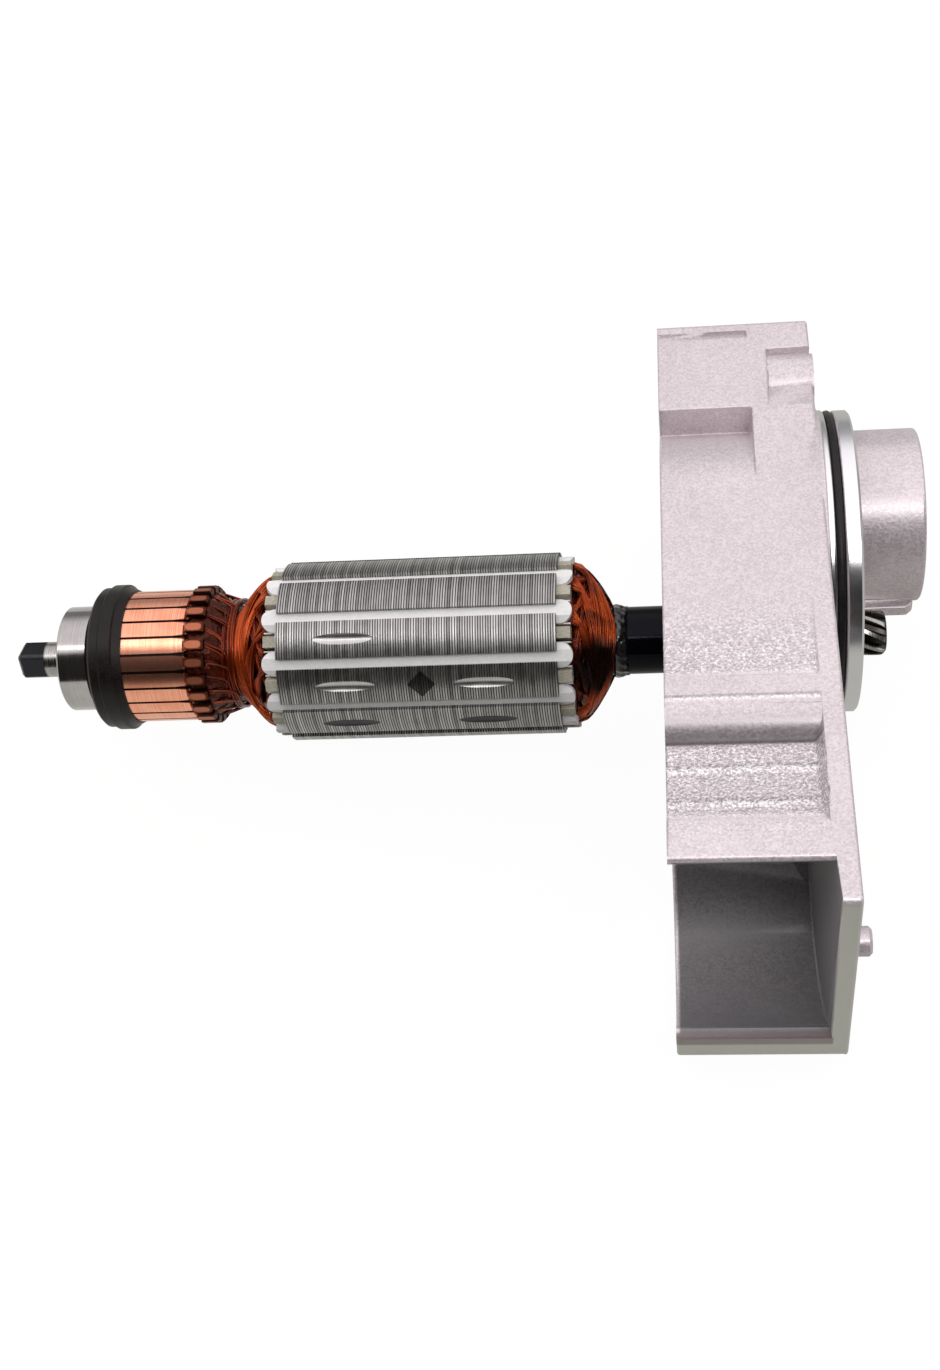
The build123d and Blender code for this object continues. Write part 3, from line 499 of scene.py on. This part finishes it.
def casting_paint():
    """Pinkish grey paint with fine metal flake, a rough cast skin on the pad and the valley floor with
    painted glints, painted shade at the column's foot, inside the duct and on the duct's floor lip, and a
    painted greenish glow on the plate's foot."""
    tree, bsdf, place = new_finish("casting_paint", Metallic=0.45, Coat_Weight=0.15, Coat_Roughness=0.12)
    x, y, z, _ = axis_parts(tree, place)
    cells = add_node(tree, "ShaderNodeTexVoronoi", {"Vector": place, "Scale": 1 / metres(0.38)})
    flake = add_node(tree, "ShaderNodeSeparateColor", {0: cells.outputs["Color"]}).outputs[0]
    cloud = grain(tree, place, metres(14), 2.0)
    colour = blend(
        tree, weighed(tree, flake, 0.65, cloud), (0.555, 0.49, 0.515, 1), (0.865, 0.795, 0.82, 1)
    )

    # Rough skin: on the pad, across the valley and a little in front of it, on the flat side only
    flat_side = times(tree, ramp_mm(tree, z, 24, 27), ramp_mm(tree, x, 163.8, 163.2))
    pad = band_mm(tree, y, -36, -34.5, -30, -12)
    valley = band_mm(tree, y, -69, -67, -51, -49.5)
    valley_front = band_mm(tree, y, -77, -71, -69.5, -68.5)
    bands = calc(tree, "ADD", scaled(tree, valley_front, 0.45, pad), times(tree, valley, 1.35))
    rugged = times(tree, bands, flat_side)
    crags = grain(tree, place, metres(0.55), 3.0)
    pits = times(tree, ramp(tree, crags, 0.50, 0.38), rugged)
    colour = blend(tree, times(tree, pits, 0.45), colour, (0.36, 0.32, 0.335, 1))

    # Flow lines of the casting in front of the pad and across the valley, as bumps. Painted glints: white
    # dots on them and all over the rough skin stand in for highlights
    valley_lines = calc(tree, "ADD", line_mm(tree, y, -56.0, 1.4), line_mm(tree, y, -63.9, 1.4))
    flow = times(tree, calc(tree, "ADD", line_mm(tree, y, -42.0, 1.0), valley_lines), flat_side)
    painted_glints = ramp(tree, scaled(tree, flow, 0.10, crags), 0.56, 0.63)
    colour = blend(tree, times(tree, painted_glints, larger(tree, rugged, flow)), colour, (0.96, 0.94, 0.95, 1))

    # Painted shade at the foot of the screw column and in the crease there
    column_foot_shade = times(tree, band_mm(tree, y, -50.6, -50.0, -49.5, -43.5), flat_side, 0.55)
    crease = times(tree, line_mm(tree, y, -49.9, 0.7), flat_side, 0.8)
    colour = blend(tree, larger(tree, column_foot_shade, crease), colour, (0.12, 0.11, 0.115, 1))

    # Painted shade inside the duct, fading to a lighter painted tone towards its mouth, where light comes in
    duct = duct_inside(tree, x, y, z)
    duct_shade = blend(tree, flake, (0.115, 0.111, 0.114, 1), (0.185, 0.178, 0.183, 1))
    mouthwards = times(tree, ramp_mm(tree, y, -62, -86), 0.5)
    duct_shade = blend(tree, mouthwards, duct_shade, (0.27, 0.265, 0.285, 1))
    colour = blend(tree, times(tree, duct, 0.93), colour, duct_shade)

    # Painted light: the plate's foot gets a pale greenish colour for the glow it picks up from the table
    colour = blend(tree, ramp_mm(tree, y, -87.6, -87.9), colour, (0.70, 0.705, 0.645, 1))
    # Painted shade: the duct's floor lip, which faces down, is made dark.
    lip = times(
        tree, ramp_mm(tree, y, -85.6, -86.2), ramp_mm(tree, x, 164.8, 164.4),
        band_mm(tree, z, -22, -21, -19, -18), 0.8,
    )
    colour = blend(tree, lip, colour, (0.30, 0.235, 0.235, 1))

    rough = scaled(tree, duct, 0.2, scaled(tree, flake, 0.16, scaled(tree, rugged, -0.11, 0.31)))
    orange_peel = bump(tree, grain(tree, place, metres(0.9), 2.0), metres(0.04))
    rocks = bump(tree, times(tree, crags, rugged), metres(0.3), orange_peel)
    link(tree, bsdf, Base_Color=colour, Roughness=rough, Normal=bump(tree, flow, metres(0.3), rocks))


def machined_metal():
    """Bright machined metal of the spigot, with fine turned lines round it."""
    tree, bsdf, place = new_finish("machined_metal", Metallic=1.0)
    lines = turned_lines(tree, axis_parts(tree, place)[0], metres(0.3))
    stain = grain(tree, place, metres(4), 3.0)
    colour = blend(tree, weighed(tree, lines, 0.5, stain), (0.80, 0.79, 0.81, 1), (0.93, 0.92, 0.94, 1))
    link(
        tree, bsdf, Base_Color=colour, Roughness=scaled(tree, stain, 0.12, 0.14),
        Normal=bump(tree, lines, metres(0.003)),
    )


shaft_steel()
commutator_copper()
lamination_steel()
winding_wire()
casting_paint()
machined_metal()

for node, item in nodes.items():
    item.data.materials.clear()
    item.data.materials.append(finishes[slots[node]])


# ---- Coil heads ----

def dome(share, depth, start_x, end_x, end_r):
    """A point's x and radius on a coil head's surface.

    Share runs from 0 at the slots to 1 at the far end, where x goes evenly from
    start to end. The radius falls as a cubic through the four outline points.
    Depth moves the point inwards, square to that outline.
    """
    shares = np.array([0, 0.4, 0.75, 1.0])
    falls = np.array([0, 0.25, 0.68, 1.0]) if end_x > start_x else np.array([0, 0.33, 0.76, 1.0])
    fall = np.polyfit(shares, falls, 3)
    drop = head_top_r - end_r
    slope_r = -drop * np.polyval(np.polyder(fall), share)
    slope_x = end_x - start_x
    size = np.hypot(slope_r, slope_x)
    x = start_x + slope_x * share + depth * slope_r / size * np.sign(slope_x)
    radius = head_top_r - drop * np.polyval(fall, share) - depth * abs(slope_x) / size
    return x, radius


def coil_head(name, start_x, end_x, end_r, reach, width, across, node):
    """Coil ends as bundles of wire from one slot round to another.

    A bundle leaves its slot, climbs the head's dome to its own reach at half way,
    and comes back down into the slot five pitches on: the climb is a power of the
    sine of the way along. Wires lie side by side over the bundle's width and in
    rows below each other, each a little wavy, and later bundles lie higher.
    """
    rows, row_step = 3, 1.75 * wire_r
    deepest, shortened = metres(2.7), 0.30
    pinch_width, wave_height = 0.27, 0.010
    least_r = shaft_r + metres(1.8)
    along = np.linspace(0, 1, 30)
    place, row = np.meshgrid(np.linspace(-0.5, 0.5, across), np.arange(rows), indexing="ij")
    place, row = place.ravel()[:, None], row.ravel()[:, None]
    count = len(place)
    climb = np.sin(np.pi * along)[None, :] ** 0.62
    ease = along - 0.055 * np.sin(full_turn * along)
    paths, tones = [], []
    # Opposite coils are wound one after the other, and each lies higher than the one before
    for level, slot in enumerate((0, 6, 5, 11, 4, 10, 3, 9, 2, 8, 1, 7)):
        sunk = (slot_count - 1 - level) / (slot_count - 1)
        top = reach - shortened * sunk + rng.normal(0, 0.01)
        jitter = rng.normal(0, 0.22, (count, 1))
        waves, shift = rng.uniform(1, 2.2, (count, 1)), rng.random((count, 1))
        wave = wave_height * np.sin(full_turn * (along * waves + shift))
        share = np.clip((top + width * place + wave) * climb, 0, 1.02)
        depth = wire_r + row_step * row + deepest * sunk + metres(0.12) * jitter
        depth = depth + metres(0.05) * np.sin(9 * along + 6 * jitter)
        x, radius = dome(share, depth, start_x, end_x, end_r)
        radius = np.maximum(radius, least_r)
        pinch = pinch_width * (place + 0.25 * jitter) * (1 - climb) ** 0.7
        turn = first_slot + slot_pitch * (slot + slots_spanned * ease) - pinch * (along * 2 - 1)
        paths.append(round_axis(x, radius, turn))
        # Each wire's tone is random about a level that falls for deeper coils: painted shade, darker where
        # coils lie under later ones.
        tones.append(np.clip(0.72 - 0.62 * sunk + rng.normal(0, 0.18, count), 0, 1))
    piece = wires(name, np.concatenate(paths), wire_r, np.concatenate(tones))
    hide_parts(node)


def coil_core(name, start_x, end_x, end_r):
    """The varnished core under a coil head: the dome's outline 3.6 mm down, closed at the shaft's
    radius, and lumpy."""
    share = np.linspace(0, 1, 14)
    x, radius = dome(share, metres(3.6), start_x, end_x, end_r)
    low = np.full_like(x, shaft_r)
    outline = np.concatenate([np.stack([x, radius], -1), np.stack([x, low], -1)[::-1]])
    lathe(name, outline, 96, lumps(metres(0.5), 3), "brown_resin")


coil_head(
    "coil_head_commutator_end", wedge_left, neck_left + metres(0.3), neck_r, 0.91, 0.26, 9,
    "winding_commutator_end",
)
coil_head(
    "coil_head_drive_end", wedge_right, head_right - metres(0.2), drive_end_r, 0.80, 0.40, 12,
    "winding_drive_end",
)
coil_core("coil_core_commutator_end", wedge_left, neck_left + metres(0.4), neck_r)
coil_core("coil_core_drive_end", wedge_right, head_right - metres(0.4), drive_end_r)


# ---- Leads from the hooks to the neck, and the resin that holds them ----

lead_count = 2 * bar_count


def lead_paths():
    """Two leads from each hook.

    A lead's x goes from the hook to its own place on the neck and its radius falls to
    the neck, both as one minus a square over the first third of the way. It turns evenly,
    sweeps on round the neck by a power of the later part, and dips at the end.
    """
    first_part, dip_start, twin_gap = 0.34, 0.85, 0.035
    first_turn, sweep_start = 0.20, 0.25
    along = np.linspace(0, 1, 26)[None, :]
    hook = (np.arange(lead_count) // 2)[:, None]
    twin = (np.arange(lead_count) % 2)[:, None]
    start_turn = bar_phase + hook * full_turn / bar_count + (twin - 0.5) * twin_gap
    sweep = rng.uniform(1.3, 2.2, (lead_count, 1))
    settle = metres(34.9) + metres(2.7) * rng.random((lead_count, 1))
    lead_floor = neck_r + metres(0.35) + metres(0.5) * rng.random((lead_count, 1))
    lead_top = hook_inner_r - metres(0.35)
    drop = 1 - (1 - np.clip(along / first_part, 0, 1)) ** 2
    dip = metres(1.0) * np.clip((along - dip_start) / (1 - dip_start), 0, 1)
    x = hook_right + (settle - hook_right) * drop
    radius = lead_top + (lead_floor - lead_top) * drop - dip
    later = np.clip((along - sweep_start) / (1 - sweep_start), 0, 1)
    turn = start_turn + first_turn * along / first_part + (sweep - first_turn) * later ** 1.3
    return round_axis(x, radius, turn)


def resin_swell(x, angle):
    """Resin beads between the hooks: -0.25 mm times the cosine of bar_count times the angle from
    the first bar, fading to nothing from 30 to 33 mm along X, over a ripple of five waves."""
    beads = np.cos(bar_count * (angle - bar_phase)) * np.clip((metres(33) - x) / metres(3), 0, 1)
    ripple = lumps(metres(0.45), 11, 12)(x, angle)
    free = (x > metres(27.2)) & (x < metres(36.8))
    return np.where(free, ripple - metres(0.25) * beads, 0)


wires("lead_wires", lead_paths(), lead_wire_r, np.clip(rng.normal(0.1, 0.12, lead_count), 0, 1))

collar_outline = metres(np.array([
    (27.15, 10.5), (27.3, 13.9), (28.5, 14.15), (30.0, 14.2), (31.4, 14.1), (32.2, 13.8), (33.2, 13.1),
    (34.2, 12.3), (35.2, 11.7), (36.2, 11.4), (36.9, 11.0), (36.9, 6.0), (31.5, 6.0), (31.5, 10.4),
    (27.15, 10.4),
]))
resin_collar = lathe("resin_collar", collar_outline, 288, resin_swell, "brown_resin")
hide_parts("coil_leads")

# Lumpy resin ring where the sleeve leaves the winding
ring_outline = metres(np.array([
    (121.6, 7.4), (121.9, 8.0), (122.6, 8.2), (123.3, 8.15), (123.9, 7.95), (124.4, 7.75), (125.2, 7.6),
    (125.2, 7.4),
]))
lathe("sleeve_resin", ring_outline, 160, lumps(metres(0.3), 5, 22), "black_sleeve", "black_resin")


# ---- Gear housing: the casting with softened edges ----

merge_distance = metres(0.002)
flat_angle = math.radians(0.6)
smooth_angle = math.radians(30)
sharp_angle = math.radians(40)
shortest_edge = metres(1.0)
narrowest_face = 2.2 * edge_rounding


def takes_rounding(edge):
    """Whether an edge is sharp, over a millimetre long and between faces wide enough to be rounded.
    The lips of the duct's mouth are left out, because the casting already rounds them."""
    start = edge.verts[0].co
    middle = (start + edge.verts[1].co) / 2
    floor_lip = metres(-22) < middle.z < metres(-17)
    roof_lip = middle.z > metres(30)
    if middle.y < metres(-77) and (floor_lip or roof_lip):
        return False
    if not edge.is_manifold or edge.calc_face_angle() < sharp_angle or edge.calc_length() < shortest_edge:
        return False
    along = (edge.verts[1].co - start).normalized()
    widths = [
        max((corner.co - start).cross(along).length for corner in face.verts) for face in edge.link_faces
    ]
    return min(widths) > narrowest_face


def softened_casting():
    """A copy of the casting's mesh, merged and cleaned, with its sharp edges marked for rounding."""
    data = nodes["gear_housing"].data.copy()
    data.name = "housing_casting"
    cleaned = bmesh.new()
    cleaned.from_mesh(data)
    bmesh.ops.remove_doubles(cleaned, verts=cleaned.verts, dist=merge_distance)
    bmesh.ops.dissolve_limit(
        cleaned, angle_limit=flat_angle, verts=cleaned.verts, edges=cleaned.edges, delimit=set()
    )
    weight = cleaned.edges.layers.float.new("bevel_weight_edge")
    for edge in cleaned.edges:
        rounded = takes_rounding(edge)
        edge[weight] = float(rounded)
        edge.smooth = rounded or (edge.is_manifold and edge.calc_face_angle() < smooth_angle)
    cleaned.to_mesh(data)
    cleaned.free()
    return data


def machined_faces(data):
    """1 for each face on the spigot's turned lands and 0 for the rest, by X and by distance from
    the spigot's own centre line."""
    left, right, inner_r, depth = metres(168.35), metres(175.65), metres(32.2), metres(3)
    centres = np.empty(len(data.polygons) * 3)
    data.polygons.foreach_get("center", centres)
    x, y, z = centres.reshape(-1, 3).T
    from_spigot = np.hypot(y - spigot_y, z)
    on_lands = (x > left) & (x < right) & (from_spigot > inner_r) & (from_spigot < inner_r + depth)
    return on_lands.astype(np.int32)


casting_mesh = softened_casting()
casting_mesh.materials.clear()
casting_mesh.materials.append(finishes["casting_paint"])
casting_mesh.materials.append(finishes["machined_metal"])
casting_mesh.polygons.foreach_set("material_index", machined_faces(casting_mesh))
casting_mesh.polygons.foreach_set("use_smooth", np.ones(len(casting_mesh.polygons), dtype=bool))
casting = bpy.data.objects.new("housing_casting", casting_mesh)
bpy.context.scene.collection.objects.link(casting)
softening = casting.modifiers.new("softened_edges", "BEVEL")
softening.width = edge_rounding
softening.segments = 3
softening.limit_method = "WEIGHT"
softening.use_clamp_overlap = False
softening.miter_outer = "MITER_ARC"
evened = casting.modifiers.new("even_shading", "WEIGHTED_NORMAL")
evened.keep_sharp = True
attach(casting, "housing")
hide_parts("gear_housing")


# ---- Camera ----

def add_camera():
    """The photograph's camera: its place, turn and focal length in pixels of the 940 by 1370 frame.
    The shift carries the point that it looks at from the frame's middle to where the photograph has it."""
    frame_width, frame_height = 940, 1370
    focal_pixels, sensor_mm = 1752.91, 36
    aim_x, aim_y = 496.24, 644.69
    eye = metres(Vector((139.56, -247.89, 306.17)))
    tilt = Matrix.Rotation(math.radians(39), 3, "X")
    lean = Matrix.Rotation(math.radians(6.42), 3, "Y")
    roll = Matrix.Rotation(math.radians(-1.888), 3, "Z")
    data = bpy.data.cameras.new("camera")
    data.sensor_width = sensor_mm
    data.lens = focal_pixels / frame_height * sensor_mm
    data.clip_start = 0.01
    data.shift_x = (frame_width / 2 - aim_x) / frame_height
    data.shift_y = (aim_y - frame_height / 2) / frame_height
    camera = bpy.data.objects.new("camera", data)
    camera.matrix_world = Matrix.Translation(eye) @ (tilt @ lean @ roll).to_4x4()
    bpy.context.scene.collection.objects.link(camera)
    bpy.context.scene.camera = camera


# ---- Floor, surroundings and lamps ----

def paper_floor():
    """White paper, which glows white to the camera and keeps a soft shadow. To reflections it glows too, as
    painted light: duller to the right, and dark past its near edge, where a table would be."""
    under_part = metres(-35.3)
    bpy.ops.mesh.primitive_plane_add(size=6, location=(0.1, 0, under_part))
    floor = bpy.context.object
    floor.name = "floor"
    made = bpy.data.materials.new("floor_finish")
    made.use_nodes = True
    tree = made.node_tree
    tree.nodes.clear()
    matt = add_node(tree, "ShaderNodeBsdfDiffuse", {"Color": (0.42, 0.42, 0.40, 1)}).outputs[0]
    rays = add_node(tree, "ShaderNodeLightPath").outputs
    by_camera = rays["Is Camera Ray"]
    by_shine = larger(tree, rays["Is Glossy Ray"], rays["Is Transmission Ray"])
    place = add_node(tree, "ShaderNodeTexCoord").outputs["Object"]
    x, y, _ = add_node(tree, "ShaderNodeSeparateXYZ", {0: place}).outputs
    off_paper = times(tree, ramp(tree, y, -0.12, -0.20), ramp(tree, x, 0.0, 0.06))
    paper = blend(tree, ramp(tree, x, -0.06, 0.04), (0.82, 0.82, 0.78, 1), (0.50, 0.50, 0.465, 1))
    reflected = blend(tree, off_paper, paper, (0.05, 0.05, 0.05, 1))
    glow = add_node(tree, "ShaderNodeEmission", {
        "Color": blend(tree, by_camera, reflected, (1, 1, 1, 1)),
        "Strength": scaled(tree, by_camera, 0.09, 1.0),
    }).outputs[0]
    shown = times(tree, larger(tree, by_camera, by_shine), 0.88)
    surface = add_node(tree, "ShaderNodeMixShader", {0: shown, 1: matt, 2: glow}).outputs[0]
    add_node(tree, "ShaderNodeOutputMaterial", {"Surface": surface})
    floor.data.materials.append(made)
    return floor


def room():
    """The room's light by its angle round X, in degrees from the viewer's side through below, behind
    and above: bright above and behind and dark on the viewer's side, as ceiling, wall and viewer are.
    The camera itself sees plain white."""
    stops = (
        (0, (0.03, 0.03, 0.028)), (170, (0.28, 0.28, 0.27)), (198, (0.32, 0.315, 0.32)),
        (220, (1.08, 1.045, 1.06)), (280, (1.4, 1.345, 1.36)), (292, (1.25, 1.20, 1.21)),
        (300, (0.03, 0.028, 0.027)), (360, (0.03, 0.029, 0.027)),
    )
    world = bpy.data.worlds.new("studio")
    bpy.context.scene.world = world
    world.use_nodes = True
    tree = world.node_tree
    tree.nodes.clear()
    direction = add_node(tree, "ShaderNodeTexCoord").outputs["Generated"]
    _, y, z = add_node(tree, "ShaderNodeSeparateXYZ", {0: direction}).outputs
    around = calc(tree, "DIVIDE", calc(tree, "ARCTAN2", z, y), full_turn)
    sky = add_node(tree, "ShaderNodeValToRGB", {0: calc(tree, "ADD", around, 0.5)})
    while len(sky.color_ramp.elements) < len(stops):
        sky.color_ramp.elements.new(1.0)
    for stop, (angle, colour) in zip(sky.color_ramp.elements, stops):
        stop.position = angle / 360
        stop.color = (*colour, 1)
    by_camera = add_node(tree, "ShaderNodeLightPath").outputs["Is Camera Ray"]
    backdrop = blend(tree, by_camera, sky.outputs[0], (1, 1, 1, 1))
    background = add_node(tree, "ShaderNodeBackground", {0: backdrop, 1: 1.0}).outputs[0]
    add_node(tree, "ShaderNodeOutputWorld", {"Surface": background})


def area_light(name, place, aim, size, power):
    """A soft oblong lamp at a place, turned towards a point."""
    data = bpy.data.lights.new(name, "AREA")
    data.shape = "RECTANGLE"
    data.size, data.size_y = size
    data.energy = power
    lamp = bpy.data.objects.new(name, data)
    lamp.location = place
    lamp.rotation_euler = (Vector(aim) - Vector(place)).to_track_quat("-Z", "Y").to_euler()
    bpy.context.scene.collection.objects.link(lamp)


add_camera()
floor = paper_floor()
room()
area_light("overhead", (-0.1, -0.3, 0.74), (0.1, 0, 0), (0.5, 0.06), 0.55)
area_light("beside_viewer", (0.30, -0.38, 0.62), (0.17, 0.02, 0), (0.24, 0.13), 1.0)
bpy.context.scene.view_settings.view_transform = "Standard"
